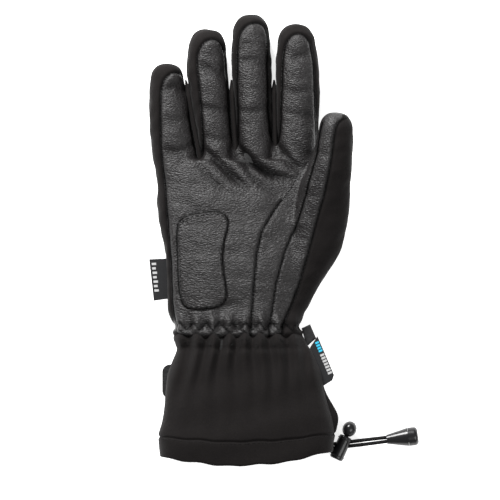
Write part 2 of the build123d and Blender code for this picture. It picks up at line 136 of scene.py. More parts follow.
# Hand sections: y, left x, right x, lowest z, highest z
HAND_SECTIONS = (
    (-66, -46, 29, 9, 31), (-63.5, -49.0, 32.6, 5.5, 35.2), (-60.5, -51.0, 34.2, 3.8, 37.4),
    (-54, -52.2, 34.4, 2, 37.6), (-46, -53.6, 35.5, 0.5, 36),
    (-34, -54.2, 38, 0, 36), (-18, -54.6, 41, 0, 36), (-4, -56.2, 42.5, 0, 35), (8, -58.9, 43.5, 0, 34),
    (22, -60.8, 44.5, 0, 32.5), (34, -60.6, 44.8, 0, 31), (44, -61.4, 44.8, 0.6, 29.5), (52, -61.5, 44.4, 2, 27.5),
)
LEATHER_OUTLINE = (
    (-49, -66), (-50.4, -50), (-51.7, -37.4), (-52.4, -8.5), (-54.3, 10.3), (-56.2, 39), (-58.3, 55), (-59, 70),
    (-59, 96), (-57, 103.5), (-53, 108.2), (-48.3, 109.6), (-43.5, 107.2), (-40.8, 102.1), (-39.8, 86.3),
    (-38.2, 70.8), (-34.9, 57), (-33, 53.4), (-31.6, 58), (-31.8, 70.6), (-33.3, 94.3), (-35.7, 116.3),
    (-34.6, 122.8), (-30.5, 129), (-24.5, 131.5), (-19.5, 129), (-16.8, 123.4), (-14.6, 105.3), (-13.6, 86.4),
    (-11.9, 66), (-10, 61.6), (-8.5, 66), (-8.9, 75), (-9.7, 110), (-9, 129.7), (-5.5, 137.5), (0, 141),
    (5, 141.5), (9.2, 139.3), (11.4, 134), (11.6, 110), (12, 86.4), (13.6, 67), (16.1, 62.4), (18.3, 67),
    (19.2, 84), (19.8, 110), (21, 124.2), (24.5, 131.8), (30.5, 135), (36.5, 132.3), (39.9, 126), (41.7, 110),
    (42.6, 78.5), (43.6, 56), (44.6, 40), (60, 40), (50.2, 40), (47.65, 27.85), (45.05, 20.05), (37.9, -6.6),
    (29.1, -37.15), (22, -52.75), (20, -66),
)
THUMB_OUTLINE = (
    (29.1, -37.2), (37.9, -6.6), (45.05, 20), (47.6, 27.9), (51.4, 46), (53.4, 59.7), (54.6, 70),
    (56.6, 76.2), (61, 79.6), (75, 82), (75, 110), (0, 110), (0, -37),
)
MOUND_SEAM = ((34, 60), (31, 44), (27.2, 35), (15.8, 20), (7.35, 5.75), (4.1, -8.55), (2.15, -28), (-0.5, -66))
STRIP_SEAM = (
    (49.5, 95), (47.4, 80.5), (44.6, 70.7), (43.2, 61), (40.8, 50), (35.2, 28.5), (30.6, 12.3), (22, -8.5),
    (16.7, -28), (12.9, -52.8), (11.6, -66),
)
HEEL_PATCH = (
    (-48.1, 8), (-46.2, 12.6), (-40.7, 16.1), (-31, 17.8), (-22.5, 18.4), (-17.6, 17.2), (-14.6, 13.6),
    (-14.6, 8.6), (-17, 0), (-18, -8), (-18.2, -14.4), (-17.2, -23), (-15.9, -31), (-15.4, -37), (-17.8, -42),
    (-24, -44.6), (-35.5, -45.6), (-42.6, -44.2), (-45.6, -39), (-46.8, -28), (-47.4, -14),
)
CROTCHES = ((-33.0, 53.4, -43.6, 111.7), (-9.9, 61.6, -13.9, 127.3), (16.1, 62.4, 14.7, 127.3))
# Soft folds pressed into the palm: the points each runs through, its depth and its half width
FOLDS = (
    (((-9, 61), (-1.8, 52.9), (11.9, 43.7), (27, 39.5)), 3.4, 3.4),
    (((-30, 58.4), (-21.9, 51.3), (-10.9, 40.9), (-1.8, 34)), 2.5, 3.0),
    (((-35, 51), (-26.5, 40.2), (-16, 31)), 1.2, 2.8),
    (((-12, 58), (-5.3, 51.3), (3.8, 38.3), (17, 29.5)), 1.7, 3.0),
    (((16.5, 62), (25.6, 51.3), (32, 46)), 1.7, 3.2),
    (((-46, 30), (-36, 20), (-30, 8)), 0.6, 4.0),
    (((-56, 59), (-48, 57), (-37, 62)), 1.4, 3.2), (((-57, 97), (-49, 100), (-42, 97)), 1.5, 3.0),
    (((-56, 78), (-48, 77), (-40, 80)), 0.5, 3.0),
    (((-34, 113), (-27, 111), (-17, 108)), 1.4, 3.2), (((-33, 87), (-24, 84.5), (-14, 84)), 1.2, 3.0),
    (((-30, 68), (-22, 65), (-13, 67)), 0.7, 3.0),
    (((-8, 115), (1, 117), (11, 113)), 1.1, 3.2), (((-9, 86), (0, 83), (11, 86)), 1.2, 3.0),
    (((27, 118), (34, 120), (41, 126)), 1.0, 3.0), (((20, 99), (30, 96), (42, 98)), 0.8, 3.0),
    (((22, 84), (31, 82), (42, 80)), 0.8, 3.2), (((26, 64), (34, 58), (42, 52)), 0.8, 3.6),
    (((-24, -48), (-12, -42), (-4, -44)), 0.7, 3.4),
)
WEBS = ((-9.9, 53.5), (16.1, 54.5))
WEB_SIZE = (8.5, 8.5, 7.0)
# Where the dark painted-shadow sheets between the fingers end.
SHADOW_SHEET_END = 104.0
WRIST_SEAM_Y = -60.5
GATHER_PITCH = 10.6
GATHER_FROM = -45.9
ZIGZAG_Y = -56.0
SIDE_SEAM_Z = 9.0
BLEND = 12.0
THUMB_START = -14.0
THUMB_JOINT = np.array((53.4, 10.0, 22.0))
THUMB_AXIS = np.array((0.049, 0.98, 0.19)) / np.linalg.norm((0.049, 0.98, 0.19))
JOINTS = {
    "little": np.array((-46.9, 46.0, 15.0)), "ring": np.array((-21.6, 52.0, 15.0)),
    "middle": np.array((3.4, 55.0, 15.0)), "index": np.array((30.5, 54.0, 15.0)),
}
LEANS = {"little": 8.1, "ring": 6.0, "middle": 2.2, "index": 0.9}
FINGER_AXES = {name: np.array((-math.sin(math.radians(a)), math.cos(math.radians(a)))) for name, a in LEANS.items()}


def smooth_track(points: np.ndarray, count: int) -> np.ndarray:
    """Interpolate rows of numbers with a Catmull-Rom curve.

    Args:
        points: One row per knot.
        count: Steps between two knots.

    Returns:
        The interpolated rows, both ends included.
    """
    padded = np.vstack([2 * points[0] - points[1], points, 2 * points[-1] - points[-2]])
    rows = []
    for a, b, c, d in zip(padded, padded[1:], padded[2:], padded[3:]):
        for t in np.arange(count) / count:
            rows.append(0.5 * (2 * b + (c - a) * t + (2 * a - 5 * b + 4 * c - d) * t**2
                               + (3 * b - 3 * c + d - a) * t**3))
    rows.append(points[-1])
    return np.array(rows)


def loft(bm: bmesh.types.BMesh, rings: list, capped: bool = True) -> None:
    """Skin a run of rings with quads.

    Args:
        bm: The mesh to build in.
        rings: For each ring its points, in order round it.
        capped: Whether the two ends are closed.
    """
    loops = []
    for points in rings:
        made = bmesh.ops.create_circle(bm, segments=len(points), radius=1.0)["verts"]
        for vert, point in zip(made, points):
            vert.co = point
        loops.append([bm.edges.get((a, b)) for a, b in zip(made, made[1:] + made[:1])])
    for a, b in zip(loops, loops[1:]):
        bmesh.ops.bridge_loops(bm, edges=a + b)
    if capped:
        for end in (loops[0], loops[-1]):
            bmesh.ops.holes_fill(bm, edges=end, sides=len(end))


def section(size: int, power: float) -> np.ndarray:
    """Unit superellipse points, counted from +X through +Z."""
    angle = np.linspace(0, 2 * np.pi, size, endpoint=False)
    c, s = np.cos(angle), np.sin(angle)
    return np.stack([np.sign(c) * np.abs(c) ** (2 / power), np.sign(s) * np.abs(s) ** (2 / power)], 1)


def digit_rings(digit: Digit, inset: float = 0.0) -> list:
    """Sections of a digit's soft tube with a rounded tip, drawn in by an inset."""
    ease = 0.0 if digit is THUMB else FINGER_EASE
    knots = np.array([[s.x, s.y, s.z, s.half_width - inset - ease, s.half_height - inset] for s in digit.stations])
    track = smooth_track(knots, 8)
    heading = track[-1, :3] - track[-3, :3]
    heading /= np.linalg.norm(heading)
    cap = []
    for a in np.linspace(0.08, 0.5 * np.pi * 0.985, 12):
        row = track[-1].copy()
        row[:3] += heading * (digit.tip - inset) * math.sin(a)
        row[3:] *= math.cos(a) ** 0.82
        cap.append(row)
    track = np.vstack([track, cap])
    unit = section(40, 2.35)
    rings = []
    for i, row in enumerate(track):
        ahead = track[min(i + 1, len(track) - 1), :3] - track[max(i - 1, 0), :3]
        ahead = ahead / np.linalg.norm(ahead)
        side = np.cross(ahead, (0, 0, 1))
        side /= np.linalg.norm(side)
        up = np.cross(side, ahead)
        rings.append(row[:3] + unit[:, :1] * side * row[3] + unit[:, 1:] * up * row[4])
    return rings


def hand_rings(inset: float = 0.0) -> list:
    """Sections of the hand from wrist to knuckles, drawn in by an inset."""
    track = smooth_track(np.array(HAND_SECTIONS, float), 7)
    unit = section(72, 3.0)
    rings = []
    for y, left, right, low, high in track:
        x = (left + right) / 2 + unit[:, 0] * ((right - left) / 2 - inset)
        z = (low + high) / 2 + unit[:, 1] * ((high - low) / 2 - inset)
        rings.append(np.stack([x, np.full_like(x, y), z], 1))
    return rings


# ------------------------------------------------------------------ meshes as arrays
@dataclass
class Skin:
    """A triangle mesh in millimetres with the smooth normals of the whole glove."""

    verts: np.ndarray
    normals: np.ndarray
    tris: np.ndarray
    labels: dict = field(default_factory=dict)
    # Painted shade per vertex: near-black darkening along seams, folds and the zigzag row.
    crease: np.ndarray = None

    def cut(self, value: np.ndarray) -> np.ndarray:
        """Split the triangles along the line where value is zero.

        Args:
            value: One number per vertex.

        Returns:
            For each triangle afterwards, whether it lies on the positive side.
        """
        value = np.where(np.abs(value) < 0.04, 0.0, value)
        tris = self.tris
        edges = np.sort(np.vstack([tris[:, [0, 1]], tris[:, [1, 2]], tris[:, [2, 0]]]), 1)
        edges = np.unique(edges, axis=0)
        crossing = edges[value[edges[:, 0]] * value[edges[:, 1]] < 0]
        share = value[crossing[:, 0]] / (value[crossing[:, 0]] - value[crossing[:, 1]])
        share = share[:, None]
        first = len(self.verts)
        new = self.verts[crossing[:, 0]] * (1 - share) + self.verts[crossing[:, 1]] * share
        new_normals = self.normals[crossing[:, 0]] * (1 - share) + self.normals[crossing[:, 1]] * share
        new_normals /= np.linalg.norm(new_normals, axis=1)[:, None]
        lookup = {tuple(e): first + i for i, e in enumerate(crossing)}
        value = np.concatenate([value, np.zeros(len(crossing))])
        signs = np.sign(value[tris])
        mixed = (signs.min(1) < 0) & (signs.max(1) > 0)
        kept = np.nonzero(~mixed)[0]
        out, parents = [], []
        for t in np.nonzero(mixed)[0]:
            loop = []
            for a, b in ((0, 1), (1, 2), (2, 0)):
                va, vb = tris[t, a], tris[t, b]
                loop.append(va)
                middle = lookup.get((va, vb) if va < vb else (vb, va))
                if middle is not None:
                    loop.append(middle)
            for side in (1, -1):
                part = [v for v in loop if value[v] * side >= 0]
                for k in range(1, len(part) - 1):
                    out.append((part[0], part[k], part[k + 1]))
                    parents.append(t)
        out = np.array(out, int).reshape(-1, 3)
        parents = np.concatenate([kept, np.array(parents, int)])
        self.verts = np.vstack([self.verts, new])
        self.normals = np.vstack([self.normals, new_normals])
        # The painted shade carries over to the new vertices.
        new_crease_shade = self.crease[crossing[:, 0]] * (1 - share[:, 0]) + self.crease[crossing[:, 1]] * share[:, 0]
        self.crease = np.concatenate([self.crease, new_crease_shade])
        self.tris = np.vstack([tris[kept], out])
        for name, on in self.labels.items():
            self.labels[name] = on[parents]
        return value[self.tris].sum(1) > 0


def polygon_distance(points: np.ndarray, outline: tuple) -> np.ndarray:
    """Signed distance in plan from an outline, positive inside."""
    ring = np.array(outline, float)
    best = np.full(len(points), 1e9)
    inside = np.zeros(len(points), bool)
    x, y = points[:, 0], points[:, 1]
    for a, b in zip(ring, np.roll(ring, -1, axis=0)):
        best = np.minimum(best, segment_distance(points, a, b))
        if a[1] != b[1]:
            cross = (a[1] > y) != (b[1] > y)
            at = (b[0] - a[0]) * (y - a[1]) / (b[1] - a[1]) + a[0]
            inside ^= cross & (x < at)
    return np.where(inside, best, -best)


def segment_distance(points: np.ndarray, a, b) -> np.ndarray:
    """Distance in plan of points from one segment."""
    a, b = np.asarray(a, float), np.asarray(b, float)
    along = b - a
    t = np.clip(((points[:, :2] - a) @ along) / (along @ along), 0, 1)
    return np.linalg.norm(points[:, :2] - a - t[:, None] * along, axis=1)


def line_side(points: np.ndarray, line: tuple) -> np.ndarray:
    """Signed distance in plan from an open line that runs down the glove, positive to its right."""
    knots = np.array(line, float)[::-1]
    x = np.interp(points[:, 1], knots[:, 1], knots[:, 0])
    slope = np.gradient(knots[:, 0], knots[:, 1])
    lean = np.interp(points[:, 1], knots[:, 1], slope)
    return (points[:, 0] - x) / np.sqrt(1 + lean**2)


def rounded(outline: tuple, closed: bool = True) -> tuple:
    """Round an outline by cutting its corners twice."""
    points = np.array(outline, float)
    for _ in range(2):
        ahead = np.roll(points, -1, axis=0) if closed else points[1:]
        here = points if closed else points[:-1]
        pairs = np.stack([here * 0.75 + ahead * 0.25, here * 0.25 + ahead * 0.75], 1).reshape(-1, 2)
        points = pairs if closed else np.vstack([points[:1], pairs, points[-1:]])
    return tuple(map(tuple, points))


def mesh_piece(name: str, bm: bmesh.types.BMesh, slot: Slot, body: str = "", nodes: tuple = ()) -> bpy.types.Object:
    """Make a finished piece from a mesh in millimetres.

    Args:
        name: The piece's name.
        bm: Its mesh, which is freed.
        slot: The record's material slot.
        body: The CAD body that it moves with, or an empty string for a piece left unattached.
        nodes: The CAD nodes that it stands for.

    Returns:
        The new object.
    """
    bmesh.ops.scale(bm, vec=(MM, MM, MM), verts=bm.verts)
    mesh = bpy.data.meshes.new(name)
    bm.to_mesh(mesh)
    bm.free()
    return dress(name, mesh, slot, body, nodes)


def dress(name: str, mesh: bpy.types.Mesh, slot: Slot, body: str, nodes: tuple) -> bpy.types.Object:
    """Put a mesh in the scene with its finish, its body and the CAD nodes that it stands for."""
    mesh.polygons.foreach_set("use_smooth", [True] * len(mesh.polygons))
    piece = bpy.data.objects.new(name, mesh)
    bpy.context.scene.collection.objects.link(piece)
    mesh.materials.append(MATERIALS[slot])
    if body:
        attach(piece, body)
    if nodes:
        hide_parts(*nodes)
    LOG.info("%s: %d faces", name, len(mesh.polygons))
    return piece


def master_skin() -> Skin:
    """Fuse the hand, fingers and thumb into one smooth skin."""
    bm = bmesh.new()
    for rings in (hand_rings(), *map(digit_rings, DIGITS), digit_rings(THUMB)):
        loft(bm, rings)
    for x, y in WEBS:
        place = Matrix.Translation((x, y, FINGER_Z)) @ Matrix.Diagonal((*WEB_SIZE, 1.0))
        bmesh.ops.create_uvsphere(bm, u_segments=24, v_segments=16, radius=1.0, matrix=place)
    bmesh.ops.recalc_face_normals(bm, faces=bm.faces)
    mesh = bpy.data.meshes.new("blank")
    bm.to_mesh(mesh)
    bm.free()
    blank = bpy.data.objects.new("blank", mesh)
    bpy.context.scene.collection.objects.link(blank)
    remesh = blank.modifiers.new("Remesh", "REMESH")
    remesh.mode = "VOXEL"
    remesh.voxel_size = VOXEL_MM
    relax = blank.modifiers.new("Smooth", "SMOOTH")
    relax.factor = 0.5
    relax.iterations = 9
    graph = bpy.context.evaluated_depsgraph_get()
    final = bpy.data.meshes.new_from_object(blank.evaluated_get(graph))
    bpy.data.objects.remove(blank)
    bm = bmesh.new()
    bm.from_mesh(final)
    bmesh.ops.triangulate(bm, faces=bm.faces)
    bm.to_mesh(final)
    bm.free()
    count = len(final.vertices)
    verts = np.empty(count * 3)
    final.vertices.foreach_get("co", verts)
    normals = np.empty(count * 3)
    final.vertex_normals.foreach_get("vector", normals)
    tris = np.empty(len(final.polygons) * 3, int)
    final.polygons.foreach_get("vertices", tris)
    bpy.data.meshes.remove(final)
    return Skin(verts.reshape(-1, 3), normals.reshape(-1, 3), tris.reshape(-1, 3))


def wave_noise(points: np.ndarray, scale: float, seed: int) -> np.ndarray:
    """A smooth seeded noise, made of a few dozen plane waves."""
    rng = np.random.default_rng(seed)
    total = np.zeros(len(points))
    for _ in range(24):
        direction = rng.normal(size=3)
        direction /= np.linalg.norm(direction)
        total += np.sin(points @ direction * (2 * np.pi / scale) * rng.uniform(0.6, 1.6) + rng.uniform(0, 6.28))
    return total / 4.9


def thumb_share(points: np.ndarray) -> np.ndarray:
    """How far inside the thumb's own tube points lie, in millimetres."""
    knots = np.array([[s.x, s.y, s.z, s.half_width] for s in THUMB.stations[4:]])
    best = np.full(len(points), -1e9)
    for a, b in zip(knots, knots[1:]):
        along = b[:3] - a[:3]
        reach = 14.0 if b is knots[-1] else 0.0
        t = np.clip(((points - a[:3]) @ along) / (along @ along), 0, 1 + reach / np.linalg.norm(along))
        near = np.linalg.norm(points - a[:3] - t[:, None] * along, axis=1)
        best = np.maximum(best, a[3] + (b[3] - a[3]) * np.minimum(t, 1) + 1.4 - near)
    return best


def leather_value(points: np.ndarray) -> np.ndarray:
    """Signed distance from the edge of the leather, positive on it."""
    on_hand = polygon_distance(points, rounded(LEATHER_OUTLINE))
    on_thumb = polygon_distance(points, rounded(THUMB_OUTLINE))
    is_thumb = thumb_share(points) > 0
    plan = np.where(is_thumb, on_thumb, on_hand)
    middle = np.where(is_thumb, np.interp(points[:, 1], [20, 70], [17, 33]), 16.5)
    return np.minimum(plan, points[:, 2] - middle)


def smoothstep(value: np.ndarray) -> np.ndarray:
    """Ease from 0 to 1 over the unit range."""
    t = np.clip(value, 0, 1)
    return t * t * (3 - 2 * t)


def groove(distance: np.ndarray, depth: float, width: float) -> np.ndarray:
    """Depth of a soft valley at a distance from its line."""
    return depth * np.exp(-((distance / width) ** 2))


class Hand:
    """The fused skin of hand, fingers and thumb, with its seams pressed in and cut into panels."""

    def __init__(self) -> None:
        """Build the skin, shape its seams and remember its fields."""
        self.skin = master_skin()
        self.shape()

    def shape(self) -> None:
        """Press seams, folds and gathers into the skin, and work out the painted shade along seams, folds and the
        zigzag row.
        """
        p = self.skin.verts
        x, y, z = p.T
        thumb = thumb_share(p) > 0
        up = smoothstep((self.skin.normals[:, 2] + 0.15) / 0.5)
        edge = leather_value(p)
        mound = np.where(thumb | (y > 26), 99, line_side(p, MOUND_SEAM))
        strip = np.where((x > 8) & (z > 18) & (y < 77) & (thumb | (y < 34)), line_side(p, STRIP_SEAM), 99)
        patch = polygon_distance(p, rounded(HEEL_PATCH))
        tip = np.where(thumb, smoothstep((81 - y) / 7), 1.0)
        push = -groove(edge, 1.1, 1.1) * tip - groove(mound, 0.9, 1.0) * up - groove(strip, 0.7, 0.95) * up
        # Painted shade along the leather edge, the two thumb seams and the heel patch seam; it does not move the skin.
        crease = np.maximum.reduce([groove(edge, 1, 0.9), groove(mound, 1.25, 0.75) * up, groove(strip, 1.25, 0.7) * up,
                                    groove(patch, 1.25, 0.65) * up])
        crease = np.minimum(crease, 1.0)
        push += 0.6 * smoothstep(patch / 1.1 + 0.5) * up
        push -= groove(patch + 0.4, 0.5, 0.9) * up
        fingers = (y > 40) & ~thumb
        push -= groove(z - SIDE_SEAM_Z, 0.7, 0.9) * (leather_value(p) < -2) * fingers
        for line, depth, width in FOLDS:
            knots = smooth_track(np.array(line, float), 4)
            ends = np.sin(np.linspace(0.12, 0.88, len(knots) - 1) * np.pi)
            press = np.zeros(len(p))
            for a, b, end in zip(knots, knots[1:], ends):
                press = np.maximum(press, groove(segment_distance(p, a, b), depth * end, width * (0.6 + 0.4 * end)))
            push -= press * up * ~thumb
            # Painted shade in each palm fold.
            crease = np.maximum(crease, 0.3 * press * up)
        gather = np.cos((x - GATHER_FROM) * 2 * np.pi / GATHER_PITCH)
        near = np.exp(-((np.clip(y - WRIST_SEAM_Y - 4, 0, 99) / 7.0) ** 2))
        push += (1.7 * gather - 0.4) * near * smoothstep((y - WRIST_SEAM_Y) / 3)
        push -= groove(y - WRIST_SEAM_Y - 4.5, 0.9, 2.0)
        zigzag = zigzag_line(-50.5, 33, ZIGZAG_Y, 5.4, 8.6)
        sewn = np.minimum.reduce([segment_distance(p, a, b) for a, b in zip(zigzag, zigzag[1:])])
        push -= groove(sewn, 0.55, 0.8) * up
        # Painted shade along the zigzag row.
        crease = np.maximum(crease, groove(sewn, 0.8, 0.6) * up)
        leather = smoothstep(edge / 3)
        push += leather * (0.32 * wave_noise(p * (0.8, 1.1, 1), 19, SEED) + 0.1 * wave_noise(p * (0.8, 1.4, 1), 8, SEED + 1))
        push += (1 - leather) * 0.22 * wave_noise(p, 11, SEED + 2)
        self.skin.crease = crease
        self.skin.verts = p + self.skin.normals * push[:, None]
        self.skin.verts[:, 2] = np.maximum(self.skin.verts[:, 2], 0.0)
        corners = self.skin.verts[self.skin.tris]
        flat = np.cross(corners[:, 1] - corners[:, 0], corners[:, 2] - corners[:, 0])
        total = np.zeros_like(self.skin.verts)
        for i in range(3):
            np.add.at(total, self.skin.tris[:, i], flat)
        self.skin.normals = total / np.maximum(np.linalg.norm(total, axis=1), 1e-9)[:, None]
        self.tree = BVHTree.FromPolygons(self.skin.verts.tolist(), self.skin.tris.tolist())

    def panels(self) -> None:
        """Cut the skin along its seams and where it crosses the joints, and make every panel."""
        skin = self.skin
        labels = skin.labels
        labels["leather"] = skin.cut(leather_value(skin.verts))
        labels["high"] = skin.cut(skin.verts[:, 2] - SIDE_SEAM_Z)
        labels["thumb"] = skin.cut(thumb_share(skin.verts))
        labels["thumb_far"] = skin.cut(thumb_reach(skin.verts) - THUMB_START)
        for i, (x0, y0, x1, y1) in enumerate(CROTCHES):
            v = skin.verts
            labels[f"past_{i}"] = skin.cut(v[:, 0] - (x0 + (v[:, 1] - y0) * (x1 - x0) / (y1 - y0)))
        for digit in DIGITS:
            joint = JOINTS[digit.name]
            labels[f"beyond_{digit.name}"] = skin.cut((skin.verts[:, :2] - joint[:2]) @ FINGER_AXES[digit.name] + BLEND)
        labels["mound"] = skin.cut(line_side(skin.verts, MOUND_SEAM))
        labels["outer"] = skin.cut(line_side(skin.verts, STRIP_SEAM))
        labels["patch"] = skin.cut(polygon_distance(skin.verts, rounded(HEEL_PATCH)))
        middle = skin.verts[skin.tris].mean(1)
        column = sum(labels[f"past_{i}"].astype(int) for i in range(3))
        thumb = labels["thumb"] & labels["thumb_far"]
        finger = np.zeros(len(column), int)
        for i, digit in enumerate(DIGITS):
            finger[(column == i) & labels[f"beyond_{digit.name}"] & ~thumb] = i + 1
        hand = (finger == 0) & ~thumb
        leather, high = labels["leather"], middle[:, 2] > SIDE_SEAM_Z
        mound = labels["mound"] & ((middle[:, 1] < 26) | labels["thumb"])
        patch = labels["patch"] & (middle[:, 2] > 25)
        self.panel("palm_leather_panel", hand & leather & ~mound & ~patch, Slot.LEATHER, nodes=("palm_leather",))
        self.panel("heel_patch_panel", hand & leather & patch, Slot.LEATHER, nodes=("heel_patch",))
        self.panel("mound_inner_strip", hand & leather & mound & ~labels["outer"], Slot.LEATHER)
        self.panel("mound_outer_strip", hand & leather & mound & labels["outer"], Slot.LEATHER,
                   nodes=("thumb_mound_leather",))
        self.panel("hand_back_panel", hand & ~leather, Slot.SHELL, nodes=("hand_back_shell",))
        for i, digit in enumerate(DIGITS):
            here = finger == i + 1
            name = digit.name
            self.panel(f"{name}_leather", here & leather, Slot.LEATHER, digit.body, (f"{name}_front_leather",))
            self.panel(f"{name}_sides", here & ~leather & high, Slot.SHELL, digit.body, (f"{name}_fourchettes",))
            self.panel(f"{name}_back", here & ~leather & ~high, Slot.SHELL, digit.body, (f"{name}_back_shell",))
        self.panel("thumb_inner_strip", thumb & leather & ~labels["outer"], Slot.LEATHER, "thumb",
                   ("thumb_inner_leather",))
        self.panel("thumb_outer_strip", thumb & leather & labels["outer"], Slot.LEATHER, "thumb",
                   ("thumb_front_leather",))
        self.panel("thumb_back", thumb & ~leather, Slot.SHELL, "thumb", ("thumb_back_shell",))

    def panel(self, name: str, where: np.ndarray, slot: Slot, body: str = "", nodes: tuple = ()) -> None:
        """Make one panel of the skin.

        Args:
            name: The panel's name.
            where: For each triangle, whether it belongs to the panel.
            slot: The record's material slot.
            body: The digit's moving body that it is meant for, or an empty string for the hand's own; a panel given a
                body is left unattached.
            nodes: The CAD nodes that it stands for.
        """
        tris = self.skin.tris[where]
        used, index = np.unique(tris, return_inverse=True)
        mesh = bpy.data.meshes.new(name)
        mesh.from_pydata((self.skin.verts[used] * MM).tolist(), [], index.reshape(-1, 3).tolist())
        # The painted shade goes on each panel as a point attribute for its shader.
        shade = mesh.attributes.new("crease", "FLOAT", "POINT")
        shade.data.foreach_set("value", self.skin.crease[used])
        piece = dress(name, mesh, slot, "" if body else "hand", nodes)
        mesh.normals_split_custom_set_from_vertices(self.skin.normals[used].tolist())
        join_to_hand(piece, body)

    def on_skin(self, x: float, y: float) -> tuple:
        """The highest point of the skin at a place in plan, and its normal."""
        point, normal, _, _ = self.tree.ray_cast(Vector((x, y, 90)), Vector((0, 0, -1)))
        return point, normal

    def zigzag(self, name: str, y: float, height: float, pitch: float) -> None:
        """Sew a zigzag row across the palm above the wrist seam.

        Args:
            name: The piece's name.
            y: Place of the row's middle.
            height: Height of the zigzag.
            pitch: Length of one zigzag.
        """
        self.stitches(name, tuple(zigzag_line(-50.5, 33, y, height, pitch)), 1.5, 0.35, lift=0.12)

    def knots(self) -> None:
        """Sew a small bar tack where each pair of fingers parts."""
        bm = bmesh.new()
        for x, y, _, _ in CROTCHES:
            point, _ = self.on_skin(x, y - 0.6)
            for dx, dy, size in ((-0.9, 0.2, 1.0), (0.8, 0.5, 1.0), (0, -0.9, 1.1), (0.1, 1.5, 0.9)):
                place = Matrix.Translation(point + Vector((dx, dy, 0.2))) @ Matrix.Diagonal((1.3, 0.9, 0.8, 1))
                bmesh.ops.create_icosphere(bm, subdivisions=2, radius=size, matrix=place)
        mesh_piece("crotch_tacks", bm, Slot.CORD, "hand")

    def gap_shadow_sheets(self) -> None:
        """Stand a dark sheet between each pair of fingers up to half their length: painted shadow in the gaps, shaped
        as the side panels' seam allowance.
        """
        for digit, (x0, y0, x1, y1) in zip(DIGITS, CROTCHES):
            bm = bmesh.new()
            rings = []
            for t in np.linspace(0, 1, 20):
                y = y0 - 6 + (SHADOW_SHEET_END - y0 + 6) * t
                x = x0 + (y - y0) * (x1 - x0) / (y1 - y0)
                taper = min(1.0, 4.5 * (1 - t) + 0.25)
                ring = section(16, 2.0)
                rings.append(np.stack([x + 2.2 * taper * ring[:, 0], np.full(16, y), 11.5 + 8 * taper * ring[:, 1]], 1))
            loft(bm, rings)
            bmesh.ops.recalc_face_normals(bm, faces=bm.faces)
            # A dark softshell sheet that stands for the shadow between the fingers.
            piece = mesh_piece(f"{digit.name}_seam_allowance", bm, Slot.SHELL)
            join_to_hand(piece, digit.body)

    def stitches(self, name: str, line: tuple, length: float, gap: float, body: str = "", lift: float = 0.1) -> None:
        """Sew a run of thread along a line laid on the skin.

        Args:
            name: The piece's name.
            line: Points of the line in plan.
            length: Length of one stitch.
            gap: Space between two stitches.
            body: The digit's moving body that it is meant for, or an empty string for the hand's own; a piece given a
                body is left unattached.
            lift: How far the thread stands above the skin.
        """
        bm = bmesh.new()
        for a, b in dashes(line, length, gap):
            ends = [self.on_skin(*a), self.on_skin(*b)]
            if ends[0][0] is None or ends[1][0] is None:
                continue
            start, stop = (point + normal * lift for point, normal in ends)
            thread(bm, start, stop, 0.34)
        piece = mesh_piece(name, bm, Slot.CORD, "" if body else "hand")
        join_to_hand(piece, body)


def zigzag_line(left: float, right: float, y: float, height: float, pitch: float) -> list:
    """Corners of a zigzag in plan."""
    count = int((right - left) / pitch * 2)
    return [(left + i * pitch / 2, y + (height / 2 if i % 2 else -height / 2)) for i in range(count + 1)]


def thumb_reach(points: np.ndarray) -> np.ndarray:
    """Distance of points past the thumb's joint, along the thumb."""
    return (points - THUMB_JOINT) @ THUMB_AXIS


def join_to_hand(piece: bpy.types.Object, body: str) -> None:
    """Bake the placement of a piece meant for a digit's body into its mesh."""
    if not body:
        return
    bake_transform(piece)


def dashes(line: tuple, length: float, gap: float) -> list:
    """Start and end of each stitch along a line."""
    points = np.array(line, float)
    steps = np.concatenate([[0], np.cumsum(np.linalg.norm(np.diff(points, axis=0), axis=1))])
    out = []
    for start in np.arange(0, steps[-1] - length, length + gap):
        out.append([tuple(np.interp(at, steps, points[:, k]) for k in (0, 1)) for at in (start, start + length)])
    return out


def thread(bm: bmesh.types.BMesh, start: Vector, stop: Vector, radius: float = 0.28) -> None:
    """Add one short round stitch."""
    along = stop - start
    turn = along.to_track_quat("Z", "Y").to_matrix().to_4x4()
    place = Matrix.Translation((start + stop) / 2) @ turn @ Matrix.Diagonal((1, 1, along.length / 2 / radius, 1))
    bmesh.ops.create_icosphere(bm, subdivisions=1, radius=radius, matrix=place)


